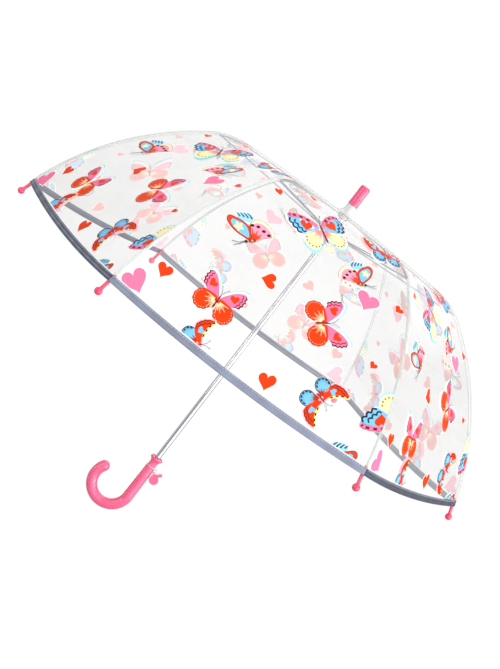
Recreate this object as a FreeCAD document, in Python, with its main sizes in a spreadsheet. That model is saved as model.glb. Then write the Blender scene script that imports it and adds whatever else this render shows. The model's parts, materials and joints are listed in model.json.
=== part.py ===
"""Children's dome umbrella, open and upright, in millimetres.

The shaft runs along +Z.  The origin is on the shaft's axis at the middle of the straight grip.
Six ribs stand at 0, 60, ... 300 degrees about Z, and a film panel spans each pair of ribs.
A rib is drawn in its own plane: X outwards from the shaft, Z up, Y along the rim.
"""

import FreeCAD, Part
import Sketcher
import math
import os

DIMENSIONS = {
    "collar_top": 40.0,         # height of the handle collar's upper lip
    "canopy_top": 472.0,        # height of the film at the shaft
    "hinge_height": 466.0,      # height of the ring that the ribs turn on
    "hinge_radius": 7.0,
    "shaft_radius": 4.0,
    "shaft_wall": 0.6,
    "shaft_foot": -5.0,
    "rib_wire": 1.2,
    "clip_run": 195.0,          # from the crown hinge out to the rib clip
    "clip_drop": 14.0,          # from the crown hinge down to the rib clip
    "bend_radius": 110.0,       # the rib's bend just inside the clip
    "clip_slope": 24.0,         # slope of the rib at the clip, in degrees
    "shoulder_radius": 60.0,    # the rib's tighter bend just outside the clip
    "shoulder_slope": 34.0,     # slope of the rib where that bend ends
    "rim_radius": 370.0,
    "rim_drop": 226.0,          # from the crown hinge down to the rim
    "eye_radius": 1.6,
    "eye_width": 1.6,
    "pivot_wire": 0.4,
    "pivot_hole": 0.5,
    "rivet_radius": 0.7,
    "rivet_hole": 0.75,
    "stretcher_wire": 1.0,
    "stretcher_side": 2.7,      # how far the stretcher lies to the side of its rib
    "film_offset": 2.9,         # from the rib's centreline to the film's inner face
    "film_thickness": 0.35,
    "film_hole": 12.5,          # radius where the film starts, under the rosette
    "seam_gap": 0.2,            # from a rib's plane to each film edge
    "binding_width": 9.0,
    "binding_thickness": 0.9,
    "tip_inside": 11.0,         # the pink sleeve's length inside the rim
    "tip_reach": 17.0,          # from the rim out to the ball's centre
    "tip_sleeve": 2.0,          # the sleeve's radius where it lies under the film's hem
    "tip_stem": 2.5,
    "tip_ball": 5.0,
    "crown_radius": 10.0,
    "crown_top": 469.6,
    "crown_foot": 462.5,
    "runner_bore": 4.15,
    "runner_radius": 6.8,
    "runner_flange": 10.5,
    "runner_below": 34.0,       # the sleeve's length below its pivots
    "ferrule_radius": 7.4,
    "ferrule_ring": 7.6,        # radius of the plain ring at the ferrule's foot
    "ferrule_ring_height": 3.0,
    "ferrule_length": 32.0,
    "ferrule_foot": 485.5,
    "grip_upper": 7.25,
    "grip_lower": 8.0,
    "grip_top": 24.0,
    "bend_height": -30.0,       # height where the hook's bend starts
    "hook_radius": 28.5,
    "hook_sweep": 212.0,        # the hook's bend, in degrees
    "catch_width": 2.0,
    "catch_length": 9.0,
    "catch_reach": 6.3,
    "top_catch_height": 396.0,
    "bottom_catch_height": 56.0,
    "whistle_radius": 6.75,
    "whistle_width": 9.0,
    "mouth_height": 4.0,
}

RIBS = 6
X_AXIS = FreeCAD.Vector(1, 0, 0)
Y_AXIS = FreeCAD.Vector(0, 1, 0)
Z_AXIS = FreeCAD.Vector(0, 0, 1)
ORIGIN = FreeCAD.Vector(0, 0, 0)
# turns a flat arc into the rib's plane: its X becomes up and its Y becomes outwards
INTO_RIB_PLANE = FreeCAD.Rotation(Z_AXIS, X_AXIS, Y_AXIS, "ZXY")

doc = FreeCAD.newDocument("umbrella")
sheet = doc.addObject("Spreadsheet::Sheet", "Dimensions")
for row, (alias, number) in enumerate(DIMENSIONS.items(), start=1):
    sheet.set(f"A{row}", alias)
    sheet.set(f"B{row}", str(number))
    sheet.setAlias(f"B{row}", alias)
doc.recompute()

parts = []                      # every finished sub-part, in the order it is made


def size(alias):
    """The sheet's value of one driving dimension."""
    return float(sheet.get(alias))


def bind(thing, **properties):
    """Tie properties to expressions; a bare word stands for a cell of the sheet."""
    for name, expression in properties.items():
        if isinstance(expression, str):
            for alias in sorted(DIMENSIONS, key=len, reverse=True):
                expression = expression.replace("@" + alias, "Dimensions." + alias)
            thing.setExpression(name, expression)
        else:
            setattr(thing, name, expression)
    return thing


def solid(kind, place=None, **properties):
    """A Part primitive with its sizes tied to the sheet."""
    made = bind(doc.addObject("Part::" + kind, kind.lower()), **properties)
    made.Placement = place or FreeCAD.Placement()
    return made


def fuse(*pieces):
    made = doc.addObject("Part::MultiFuse", "fusion")
    made.Shapes = list(pieces)
    return made


def cut(base, *tools):
    made = doc.addObject("Part::Cut", "cut")
    made.Base = base
    made.Tool = fuse(*tools) if len(tools) > 1 else tools[0]
    return made


def finish(thing, name, azimuth=0.0):
    """Give a sub-part its name and turn it about the shaft to its place."""
    thing.Label = name
    turn = FreeCAD.Placement(ORIGIN, FreeCAD.Rotation(Z_AXIS, azimuth))
    thing.Placement = turn.multiply(thing.Placement)
    parts.append(thing)
    return thing


def at(x, z, y=0.0, rotation=None):
    return FreeCAD.Placement(FreeCAD.Vector(x, y, z), rotation or FreeCAD.Rotation())


def across(x, z, y):
    """A placement whose cylinder axis runs along +Y, starting at y."""
    return at(x, z, y, FreeCAD.Rotation(X_AXIS, -90))


# ---------------------------------------------------------------- the rib's line

HINGE = (size("hinge_radius"), size("hinge_height"))
CLIP = (HINGE[0] + size("clip_run"), HINGE[1] - size("clip_drop"))
RIM = (size("rim_radius"), HINGE[1] - size("rim_drop"))
CLIP_SLOPE = size("clip_slope")


def arc_centre(point, slope, radius):
    """Centre of the arc that leaves point at this downward slope and bends down."""
    angle = math.radians(slope)
    return point[0] - radius * math.sin(angle), point[1] - radius * math.cos(angle)


def arc_point(centre, slope, radius):
    angle = math.radians(slope)
    return centre[0] + radius * math.sin(angle), centre[1] + radius * math.cos(angle)


def crown_arc_end():
    """Slope where the level start of the rib, one long arc, meets the bend inside the clip."""
    bend, clip = size("bend_radius"), math.radians(CLIP_SLOPE)
    low, high = 0.0, clip
    for _ in range(50):
        slope = (low + high) / 2
        run = size("clip_run") - bend * (math.sin(clip) - math.sin(slope))
        drop = size("clip_drop") - bend * (math.cos(slope) - math.cos(clip))
        if 2 * math.atan2(drop, run) > slope:
            low = slope
        else:
            high = slope
    return math.degrees(slope), run / math.sin(slope)


BEND_SLOPE, crown_radius = crown_arc_end()
bend_radius = size("bend_radius")
shoulder_radius = size("shoulder_radius")
shoulder_centre = arc_centre(CLIP, CLIP_SLOPE, shoulder_radius)
SHOULDER = arc_point(shoulder_centre, size("shoulder_slope"), shoulder_radius)
chord = math.hypot(RIM[0] - SHOULDER[0], RIM[1] - SHOULDER[1])
chord_slope = math.degrees(math.atan2(SHOULDER[1] - RIM[1], RIM[0] - SHOULDER[0]))
RIM_SLOPE = 2 * chord_slope - size("shoulder_slope")
side_radius = chord / 2 / math.sin(math.radians(chord_slope - size("shoulder_slope")))

# each stretch of the rib: centre, radius, slope at its start and at its end
CROWN_ARC = (arc_centre(HINGE, 0, crown_radius), crown_radius, 0.0, BEND_SLOPE)
BEND_ARC = (arc_centre(CLIP, CLIP_SLOPE, bend_radius), bend_radius, BEND_SLOPE, CLIP_SLOPE)
SHOULDER_ARC = (shoulder_centre, shoulder_radius, CLIP_SLOPE, size("shoulder_slope"))
SIDE_ARC = (arc_centre(RIM, RIM_SLOPE, side_radius), side_radius, size("shoulder_slope"), RIM_SLOPE)


def bent_wire(arc, radius_expression, wire):
    """A round wire along one arc of the rib."""
    (x, z), radius, start, end = arc
    place = at(x, z, 0, INTO_RIB_PLANE.multiply(FreeCAD.Rotation(Z_AXIS, start)))
    return solid("Torus", place, Radius1=radius_expression or radius, Radius2=wire, Angle3=end - start)


def sloping(point, slope, y=0.0):
    """A placement whose Z axis runs outwards and down at this slope."""
    return at(point[0], point[1], y, FreeCAD.Rotation(Y_AXIS, 90 + slope))


# ---------------------------------------------------------------- ribs and stretchers

LAP = 1.05                      # thickness of each half of the lapped joint at the clip
LAP_EDGE = 1.2                  # outer face of each half
LAP_RADIUS = 2.2
LAP_ROOM = 2.6                  # the wires stop this far from the rivet
LAP_REACH = 5.0


def lap(y_start, slope, towards):
    """Half of the lapped joint: a disc round the rivet and a neck out to the wire."""
    disc = solid("Cylinder", across(CLIP[0], CLIP[1], y_start), Radius=LAP_RADIUS, Height=LAP)
    neck_turn = FreeCAD.Rotation(Y_AXIS, slope + (0 if towards > 0 else 180))
    neck_start = FreeCAD.Vector(CLIP[0], 0, CLIP[1])
    offset = neck_turn.multVec(FreeCAD.Vector(0, 0, -1.1))
    neck = solid("Box", FreeCAD.Placement(neck_start + offset, neck_turn),
                 Length=LAP_REACH, Width=LAP, Height=2.2)
    neck.Placement.Base = neck.Placement.Base + FreeCAD.Vector(0, y_start, 0)
    return fuse(disc, neck)


def room_at_clip():
    return solid("Cylinder", across(CLIP[0], CLIP[1], -5), Radius=LAP_ROOM, Height=10)


def make_rib_upper(number, azimuth):
    wire = fuse(bent_wire(CROWN_ARC, None, "@rib_wire"), bent_wire(BEND_ARC, "@bend_radius", "@rib_wire"))
    eye = solid("Cylinder", across(HINGE[0], HINGE[1], -size("eye_width") / 2),
                Radius="@eye_radius", Height="@eye_width")
    hole = solid("Cylinder", across(HINGE[0], HINGE[1], -3), Radius="@pivot_hole", Height=6)
    past_eye = solid("Box", at(HINGE[0] - 4, HINGE[1] - 3, -3), Length=4, Width=6, Height=6)
    side = size("stretcher_side")
    rivet = solid("Cylinder", across(CLIP[0], CLIP[1], -LAP_EDGE),
                  Radius="@rivet_radius", Height=LAP_EDGE + side + 1.4)
    head = solid("Cylinder", across(CLIP[0], CLIP[1], side + 1.3), Radius=1.5, Height=0.6)
    trimmed = cut(wire, room_at_clip(), past_eye)
    holed = cut(fuse(trimmed, eye), hole)
    rib = fuse(holed, lap(-LAP_EDGE, CLIP_SLOPE, -1), rivet, head)
    finish(rib, f"rib_upper_{number}", azimuth)


def make_rib_lower(number, azimuth):
    shoulder = bent_wire(SHOULDER_ARC, "@shoulder_radius", "@rib_wire")
    side = bent_wire(SIDE_ARC, None, "@rib_wire")
    end = solid("Cylinder", sloping(RIM, RIM_SLOPE), Radius="@rib_wire", Height="@tip_reach / 2")
    trimmed = cut(fuse(shoulder, side, end), room_at_clip())
    hole = solid("Cylinder", across(CLIP[0], CLIP[1], -3), Radius="@rivet_hole", Height=6)
    rib = cut(fuse(trimmed, lap(LAP_EDGE - LAP, CLIP_SLOPE, 1)), hole)
    finish(rib, f"rib_lower_{number}", azimuth)


def make_stretcher(number, azimuth):
    """A straight wire beside the rib's plane, from the runner up to the rivet."""
    side = size("stretcher_side")
    drop = 2 * size("clip_drop")
    inner = (HINGE[0], HINGE[1] - drop)
    length = math.hypot(size("clip_run"), size("clip_drop"))
    slope = -math.degrees(math.atan2(size("clip_drop"), size("clip_run")))
    wire = solid("Cylinder", sloping(inner, slope, side), Radius="@stretcher_wire", Height=length)
    eyes = [solid("Cylinder", across(x, z, side - 1.0), Radius="@eye_radius", Height=2.0)
            for x, z in (inner, CLIP)]
    pin_hole = solid("Cylinder", across(inner[0], inner[1], side - 2), Radius="@pivot_hole", Height=4)
    rivet_hole = solid("Cylinder", across(CLIP[0], CLIP[1], side - 2), Radius="@rivet_hole", Height=4)
    finish(cut(fuse(wire, *eyes), pin_hole, rivet_hole), f"stretcher_{number}", azimuth)


def revolved(body_name, points, place):
    """A PartDesign body: an outline of (radius, height) points turned about its Z axis."""
    body = doc.addObject("PartDesign::Body", body_name)
    sketch = body.newObject("Sketcher::SketchObject", body_name + "_outline")
    plane = [p for p in body.Origin.OriginFeatures if p.Role == "XZ_Plane"][0]
    sketch.AttachmentSupport = [(plane, "")]
    sketch.MapMode = "FlatFace"
    for index, start in enumerate(points):
        end = points[(index + 1) % len(points)]
        sketch.addGeometry(Part.LineSegment(FreeCAD.Vector(*start, 0), FreeCAD.Vector(*end, 0)))
    for index in range(len(points)):
        sketch.addConstraint(Sketcher.Constraint("Coincident", index, 2, (index + 1) % len(points), 1))
        sketch.addConstraint(Sketcher.Constraint("Block", index))
    doc.recompute()
    turned = body.newObject("PartDesign::Revolution", body_name + "_revolution")
    turned.Profile = sketch
    turned.ReferenceAxis = (sketch, ["V_Axis"])
    turned.Angle = 360
    body.Placement = place
    doc.recompute()
    return body


def make_tip(number, azimuth):
    """A pink sleeve over the rib's end with a ball on it."""
    inside, reach = size("tip_inside"), size("tip_reach")
    stem, ball, wire = size("tip_stem"), size("tip_ball"), size("rib_wire")
    sleeve, bore, fit = size("tip_sleeve"), wire + 0.25, wire + 0.02
    blind_end = reach / 2 + 0.1
    steps = 8
    ball_start = math.degrees(math.asin(stem / ball))
    ball_points = []
    for step in range(steps + 1):
        angle = math.radians(ball_start + (180 - ball_start) * step / steps)
        ball_points.append((ball * math.sin(angle), reach - ball * math.cos(angle)))
    outline = [(bore, -inside), (sleeve - 0.3, -inside), (sleeve, -inside + 0.6), (sleeve, 0.8), (stem, 1.6)]
    outline += ball_points[:-1]
    outline += [(0, reach + ball), (0, blind_end), (fit, blind_end), (fit, 0.1), (bore, 0.1)]
    body = revolved(f"tip_body_{number}", outline, sloping(RIM, RIM_SLOPE))
    finish(body, f"tip_{number}", azimuth)


# ---------------------------------------------------------------- the film canopy

HALF_GORE = math.pi / RIBS
NARROW = math.cos(HALF_GORE)    # from a rib's plane to the middle of a panel


def offset_points(arc, offset, start=None, end=None):
    """Start, middle and end of a rib arc moved outwards, seen at the panel's middle."""
    centre, radius, first, last = arc
    first = first if start is None else start
    last = last if end is None else end
    points = [arc_point(centre, slope, radius + offset) for slope in (first, (first + last) / 2, last)]
    return [FreeCAD.Vector(x * NARROW, 0, z) for x, z in points]


def strip(stretches, inner, thickness):
    """A thin profile along stretches of the rib's line."""
    near = [offset_points(arc, inner, a, b) for arc, a, b in stretches]
    far = [offset_points(arc, inner + thickness, a, b) for arc, a, b in stretches]
    edges = [Part.Arc(*points).toShape() for points in near]
    edges.append(Part.LineSegment(near[-1][2], far[-1][2]).toShape())
    edges += [Part.Arc(*reversed(points)).toShape() for points in reversed(far)]
    edges.append(Part.LineSegment(far[0][0], near[0][0]).toShape())
    return Part.Face(Part.Wire(edges))


def gore(stretches, inner, thickness):
    """The strip drawn out along the rim and cut off at the ribs on either side."""
    width = size("rim_radius")
    face = strip(stretches, inner, thickness)
    face.translate(FreeCAD.Vector(0, -width, 0))
    sheet_solid = face.extrude(FreeCAD.Vector(0, 2 * width, 0))
    gap = size("seam_gap") / math.sin(HALF_GORE)
    reach = 2 * width
    corner = reach * math.tan(HALF_GORE)
    wedge_points = [FreeCAD.Vector(gap, 0, 0), FreeCAD.Vector(gap + reach, -corner, 0),
                    FreeCAD.Vector(gap + reach, corner, 0), FreeCAD.Vector(gap, 0, 0)]
    wedge = Part.Face(Part.makePolygon(wedge_points)).extrude(FreeCAD.Vector(0, 0, 2 * width))
    return sheet_solid.common(wedge).Solids[0]


def slope_at_radius(arc, radius):
    return math.degrees(math.asin((radius - arc[0][0]) / arc[1]))


hem_slope = RIM_SLOPE - math.degrees(size("binding_width") / side_radius)
fold_gap = 0.15                 # between the upper and lower panels, in millimetres
lap_end = CLIP_SLOPE - math.degrees(fold_gap / bend_radius)
lap_start = CLIP_SLOPE + math.degrees(fold_gap / shoulder_radius)
film_start = slope_at_radius(CROWN_ARC, size("film_hole"))

FILM_INNER, FILM_THICKNESS = size("film_offset"), size("film_thickness")
BINDING_THICKNESS = size("binding_thickness")
BINDING_INNER = FILM_INNER - (BINDING_THICKNESS - FILM_THICKNESS) / 2

UPPER_FILM = [(CROWN_ARC, film_start, None), (BEND_ARC, None, lap_end)]
LOWER_FILM = [(SHOULDER_ARC, lap_start, None), (SIDE_ARC, None, hem_slope)]
BINDING = [(SIDE_ARC, hem_slope, None)]


def make_panel(name, number, azimuth, stretches, inner, thickness):
    panel = doc.addObject("Part::Feature", name)
    panel.Shape = gore(stretches, inner, thickness)
    finish(panel, f"{name}_{number}", azimuth)


# ---------------------------------------------------------------- crown, runner and shaft

def slotted(body, x_start, y_middle, width, z_start, height):
    """Cut six radial slots into a round body."""
    slots = []
    for rib in range(RIBS):
        turn = FreeCAD.Rotation(Z_AXIS, 360 / RIBS * rib)
        corner = turn.multVec(FreeCAD.Vector(x_start, y_middle - width / 2, z_start))
        slots.append(solid("Box", FreeCAD.Placement(corner, turn), Length=12, Width=width, Height=height))
    return cut(body, *slots)


def make_crown():
    foot, top, radius = size("crown_foot"), size("crown_top"), size("crown_radius")
    bore = size("shaft_radius")
    outline = [(bore, foot), (radius - 1.5, foot), (radius, foot + 1.5), (radius, top - 0.6),
               (radius - 0.6, top), (bore, top)]
    disc = revolved("crown_disc", outline, FreeCAD.Placement())
    slots = slotted(disc, 5.1, 0, 2.8, foot - 1, HINGE[1] + 2.1 - foot + 1)
    groove = solid("Torus", at(0, HINGE[1]), Radius1="@hinge_radius", Radius2="@pivot_wire + 0.02")
    finish(cut(slots, groove), "crown_notch")
    wire = solid("Torus", at(0, HINGE[1]), Radius1="@hinge_radius", Radius2="@pivot_wire")
    finish(wire, "crown_wire")


def make_rosette():
    """The pale cap that clamps the film onto the crown, under the ferrule."""
    top, foot, bore = size("ferrule_foot"), size("crown_top"), size("shaft_radius")
    outline = [(bore, foot), (15.0, foot), (15.6, foot + 0.7), (14.2, foot + 1.6), (9.6, foot + 4.2),
               (7.6, foot + 8.0), (7.0, top - 1.2), (7.0, top), (bore, top)]
    finish(revolved("rosette_body", outline, FreeCAD.Placement()), "canopy_rosette")


FLUTES = 10
FLUTE_RADIUS = 1.5
FLUTE_CENTRE = 0.85             # from the fluted surface out to a flute's axis
CAP_THICKNESS = 12.0            # solid plastic above the shaft's end


def make_ferrule():
    """The fluted pink cap over the shaft's upper end, with a plain ring at its foot."""
    foot, length, radius = size("ferrule_foot"), size("ferrule_length"), size("ferrule_radius")
    ring, bore, top = size("ferrule_ring"), size("shaft_radius"), foot + length
    ring_foot = foot + 0.4
    ring_top = ring_foot + size("ferrule_ring_height")
    cap = top - CAP_THICKNESS
    outline = [(bore, foot), (ring - 0.4, foot), (ring, ring_foot), (ring, ring_top),
               (radius, ring_top + 0.1), (radius, top - 3.0), (radius - 0.5, top - 1.4),
               (radius - 1.6, top - 0.4), (radius - 3.0, top), (0, top), (0, cap), (bore, cap)]
    body = revolved("ferrule_body", outline, FreeCAD.Placement())
    flutes = []
    for flute in range(FLUTES):
        turn = FreeCAD.Rotation(Z_AXIS, 360 / FLUTES * flute)
        centre = turn.multVec(FreeCAD.Vector(radius + FLUTE_CENTRE, 0, ring_top + 0.4))
        flutes.append(solid("Cylinder", FreeCAD.Placement(centre, turn),
                            Radius=FLUTE_RADIUS, Height=length - 7))
    finish(cut(body, *flutes), "ferrule")


RUNNER_PIVOT = HINGE[1] - 2 * size("clip_drop")


def make_runner():
    """The sleeve that slides on the shaft, with six slots for the stretchers' eyes."""
    bore, sleeve, flange = size("runner_bore"), size("runner_radius"), size("runner_flange")
    top, foot = RUNNER_PIVOT + 3.0, RUNNER_PIVOT - size("runner_below")
    under = RUNNER_PIVOT - 4.5
    outline = [(bore, foot), (sleeve + 1.6, foot), (sleeve + 2.2, foot + 0.8), (sleeve + 1.0, foot + 4.0),
               (sleeve, foot + 5.0), (sleeve, under - 3.0), (flange, under), (flange, top - 0.6),
               (flange - 0.6, top), (bore, top)]
    body = revolved("runner_body", outline, FreeCAD.Placement())
    side = size("stretcher_side")
    slots = slotted(body, 5.1, side, 2.6, RUNNER_PIVOT - 2.1, 8)
    keyway = solid("Box", at(0, foot - 1, 0, FreeCAD.Rotation(Z_AXIS, -90)), Length=7.4, Height=50,
                   Width="@catch_width + 0.8")
    keyway.Placement.Base = FreeCAD.Vector(-(size("catch_width") + 0.8) / 2, 0, foot - 1)
    holes, pins = [], []
    for rib in range(RIBS):
        turn = FreeCAD.Rotation(Z_AXIS, 360 / RIBS * rib)
        start = turn.multVec(FreeCAD.Vector(HINGE[0], side - 2.4, RUNNER_PIVOT))
        place = FreeCAD.Placement(start, turn.multiply(FreeCAD.Rotation(X_AXIS, -90)))
        holes.append(solid("Cylinder", place, Radius="@pivot_wire + 0.02", Height=4.8))
        pins.append(solid("Cylinder", place, Radius="@pivot_wire", Height=4.8))
    finish(cut(slots, keyway, *holes), "runner")
    pin_group = doc.addObject("Part::Compound", "pin_group")
    pin_group.Links = pins
    finish(pin_group, "runner_pins")


def make_shaft():
    outer, wall = size("shaft_radius"), size("shaft_wall")
    length = size("ferrule_foot") + size("ferrule_length") - CAP_THICKNESS - size("shaft_foot")
    place = at(0, size("shaft_foot"))
    tube = solid("Cylinder", place, Radius="@shaft_radius", Height=length)
    hollow = solid("Cylinder", place, Radius="@shaft_radius - @shaft_wall", Height=length)
    slots = []
    for height in ("top_catch_height", "bottom_catch_height"):
        middle = size(height)
        slots.append(solid("Box", at(-size("catch_width") / 2 - 0.15, middle - size("catch_length") / 2 - 0.2,
                                     -outer - 2), Length="@catch_width + 0.3", Width=4,
                           Height="@catch_length + 0.4"))
    finish(cut(tube, hollow, *slots), "shaft_tube")


def make_catch(name, height):
    """A sprung button that stands out of the shaft under the runner, tapered above."""
    middle, half = size(height), size("catch_length") / 2
    reach, inner = size("catch_reach"), 1.6
    width = size("catch_width")
    outline = [(inner, middle - half), (reach, middle - half) if name == "bottom" else (4.2, middle - half),
               (4.2, middle + half) if name == "bottom" else (reach, middle + half), (inner, middle + half)]
    points = [FreeCAD.Vector(-width / 2, -radius, z) for radius, z in outline]
    button = doc.addObject("Part::Feature", name + "_button")
    button.Shape = Part.Face(Part.makePolygon(points + points[:1])).extrude(FreeCAD.Vector(width, 0, 0))
    finish(button, name + "_catch")


# ---------------------------------------------------------------- handle and whistle

def make_handle():
    """The slightly tapered grip, run on into a hook with a round end."""
    bend, radius = size("bend_height"), size("hook_radius")
    straight = solid("Cone", at(0, bend), Radius1="@grip_lower", Radius2="@grip_upper",
                     Height="@grip_top - @bend_height")
    turn = FreeCAD.Rotation(X_AXIS, 90).multiply(FreeCAD.Rotation(Z_AXIS, 360 - size("hook_sweep")))
    hook = solid("Torus", at(-radius, bend, 0, turn), Radius1="@hook_radius", Radius2="@grip_lower",
                 Angle3="@hook_sweep")
    past = math.radians(size("hook_sweep") - 180)
    end = solid("Sphere", at(-radius - radius * math.cos(past), bend + radius * math.sin(past)),
                Radius="@grip_lower")
    bore = solid("Cylinder", at(0, size("shaft_foot")), Radius="@shaft_radius", Height=60)
    finish(cut(fuse(straight, hook, end), bore), "handle")


def make_collar():
    """The flared neck between the grip and the shaft, with a groove for the ring."""
    foot, top, bore = size("grip_top"), size("collar_top"), size("shaft_radius")
    outline = [(bore, foot), (5.6, foot), (5.6, foot + 1.4), (6.4, foot + 1.8), (6.1, foot + 5.0),
               (6.3, foot + 8.5), (7.2, foot + 10.5), (9.2, top - 3.2), (9.75, top - 2.4),
               (9.75, top - 0.6), (9.2, top), (8.2, top), (7.6, top - 1.0), (bore, top - 1.0)]
    finish(revolved("collar_body", outline, FreeCAD.Placement()), "handle_collar")


RING_HEIGHT = size("grip_top") + 0.7
EYE = (9.9, RING_HEIGHT)        # centre of the ring's eye, clear of the grip
EYE_RADIUS = 1.5
LINK_RADIUS = 2.6
LINK = (EYE[0], EYE[1] - EYE_RADIUS + 1.0 - LINK_RADIUS)
LUG = (LINK[0], LINK[1] - LINK_RADIUS - 0.5)
WHISTLE = (LUG[0] + 5.0, LUG[1] - 7.0)


def make_whistle_ring():
    """A clear plastic ring in the collar's groove, with an eye at the +X side."""
    ring = solid("Torus", at(0, RING_HEIGHT), Radius1=6.3, Radius2=0.6)
    stalk = solid("Cylinder", at(6.3, RING_HEIGHT, 0, FreeCAD.Rotation(Y_AXIS, 90)),
                  Radius=0.5, Height=EYE[0] - EYE_RADIUS - 6.3)
    eye = solid("Torus", across(EYE[0], EYE[1], 0), Radius1=EYE_RADIUS, Radius2=0.5)
    finish(fuse(ring, stalk, eye), "neck_ring")


def make_whistle():
    radius, width, mouth_height = size("whistle_radius"), size("whistle_width"), size("mouth_height")
    drum = solid("Cylinder", across(WHISTLE[0], WHISTLE[1], -width / 2),
                 Radius="@whistle_radius", Height="@whistle_width")
    turn = FreeCAD.Rotation(Y_AXIS, -45)
    corner = FreeCAD.Vector(WHISTLE[0], -width / 2 + 0.8, WHISTLE[1]) + turn.multVec(
        FreeCAD.Vector(0, 0, radius - mouth_height))
    mouth = solid("Box", FreeCAD.Placement(corner, turn), Length=12.6, Width=width - 1.6,
                  Height=mouth_height)
    lug = solid("Cylinder", across(LUG[0], LUG[1], -1.0), Radius=2.2, Height=2.0)
    chamber = solid("Cylinder", across(WHISTLE[0], WHISTLE[1], -width / 2 + 1.1),
                    Radius="@whistle_radius - 1.2", Height="@whistle_width - 2.2")
    corner = corner + turn.multVec(FreeCAD.Vector(1.0, 1.2, 1.3))
    windway = solid("Box", FreeCAD.Placement(corner, turn), Length=13, Width=width - 4.0, Height=1.6)
    notch_base = FreeCAD.Vector(WHISTLE[0], -width / 2 + 2.0, WHISTLE[1]) + turn.multVec(
        FreeCAD.Vector(0.6, 0, radius - 3.2))
    notch = solid("Box", FreeCAD.Placement(notch_base, turn), Length=2.6, Width=width - 4.0, Height=5.0)
    hole = solid("Cylinder", across(LUG[0], LUG[1], -2.0), Radius=1.1, Height=4.0)
    finish(cut(fuse(drum, mouth, lug), chamber, windway, notch, hole), "whistle")
    pea = solid("Sphere", at(WHISTLE[0], WHISTLE[1] - radius + 1.3 + 2.5), Radius=2.4)
    finish(pea, "whistle_pea")
    link = solid("Torus", at(LINK[0], LINK[1], 0, FreeCAD.Rotation(Y_AXIS, 90)),
                 Radius1=LINK_RADIUS, Radius2=0.45)
    finish(link, "whistle_link")


# ---------------------------------------------------------------- everything

for rib in range(RIBS):
    rib_azimuth = 360 / RIBS * rib
    panel_azimuth = rib_azimuth + 180 / RIBS
    name_number = rib + 1
    make_rib_upper(name_number, rib_azimuth)
    make_rib_lower(name_number, rib_azimuth)
    make_stretcher(name_number, rib_azimuth)
    make_tip(name_number, rib_azimuth)
    make_panel("canopy_upper", name_number, panel_azimuth, UPPER_FILM, FILM_INNER, FILM_THICKNESS)
    make_panel("canopy_lower", name_number, panel_azimuth, LOWER_FILM, FILM_INNER, FILM_THICKNESS)
    make_panel("edge_binding", name_number, panel_azimuth, BINDING, BINDING_INNER, BINDING_THICKNESS)

make_crown()
make_rosette()
make_ferrule()
make_runner()
make_shaft()
make_catch("top", "top_catch_height")
make_catch("bottom", "bottom_catch_height")
make_handle()
make_collar()
make_whistle_ring()
make_whistle()

doc.recompute()
for thing in doc.Objects:
    if "Invalid" in thing.State or "Error" in thing.State:
        raise SystemExit(f"{thing.Label} is {thing.State}")

os.makedirs("parts", exist_ok=True)
for part in parts:
    if part.Shape.isNull() or not part.Shape.isValid() or not part.Shape.Solids:
        raise SystemExit(f"{part.Label} has no valid solid")
    part.Shape.exportStep(f"parts/{part.Label}.step")
    box = part.Shape.BoundBox
    reach = ", ".join(f"{low:.1f} to {high:.1f}" for low, high in
                      ((box.XMin, box.XMax), (box.YMin, box.YMax), (box.ZMin, box.ZMax)))
    print(f"{part.Label:18} {len(part.Shape.Solids)} solids {part.Shape.Volume:10.1f} mm3   {reach}")
print(len(parts), "nodes, rim slope", round(RIM_SLOPE, 2))
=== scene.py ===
"""Looks of the children's dome umbrella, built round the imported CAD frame.

The shaft runs along +Z and six ribs stand at 0, 60, ... 300 degrees about it.  A gore is the film between
two ribs.  A place on a gore is (s, t): s runs down the film from the crown along the rib's curve, and t
runs across it from the gore's middle, both in millimetres.
"""
import json
import math

import bpy
import bmesh
from mathutils import Matrix, Vector


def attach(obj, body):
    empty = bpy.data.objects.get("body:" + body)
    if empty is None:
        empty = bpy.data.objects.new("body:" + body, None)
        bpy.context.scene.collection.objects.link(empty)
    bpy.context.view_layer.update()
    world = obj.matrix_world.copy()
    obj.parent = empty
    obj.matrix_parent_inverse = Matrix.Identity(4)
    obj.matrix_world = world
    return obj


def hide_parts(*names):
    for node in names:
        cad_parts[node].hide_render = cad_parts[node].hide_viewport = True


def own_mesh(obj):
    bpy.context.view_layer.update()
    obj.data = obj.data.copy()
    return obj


MM = 0.001
GORES = 6
HALF_GORE = math.pi / GORES
FOLD = "rib_upper_1_hinge"

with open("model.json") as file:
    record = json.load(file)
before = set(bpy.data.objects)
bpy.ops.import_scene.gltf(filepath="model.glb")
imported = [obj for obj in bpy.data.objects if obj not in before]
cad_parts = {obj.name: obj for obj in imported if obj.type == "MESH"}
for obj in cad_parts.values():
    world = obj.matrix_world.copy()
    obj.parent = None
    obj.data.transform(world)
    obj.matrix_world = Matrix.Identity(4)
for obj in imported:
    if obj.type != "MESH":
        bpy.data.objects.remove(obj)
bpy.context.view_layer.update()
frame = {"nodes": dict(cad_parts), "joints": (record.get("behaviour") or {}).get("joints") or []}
joints = {joint["name"]: joint for joint in frame["joints"]}


# ---------------------------------------------------------------- the film's line

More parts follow.
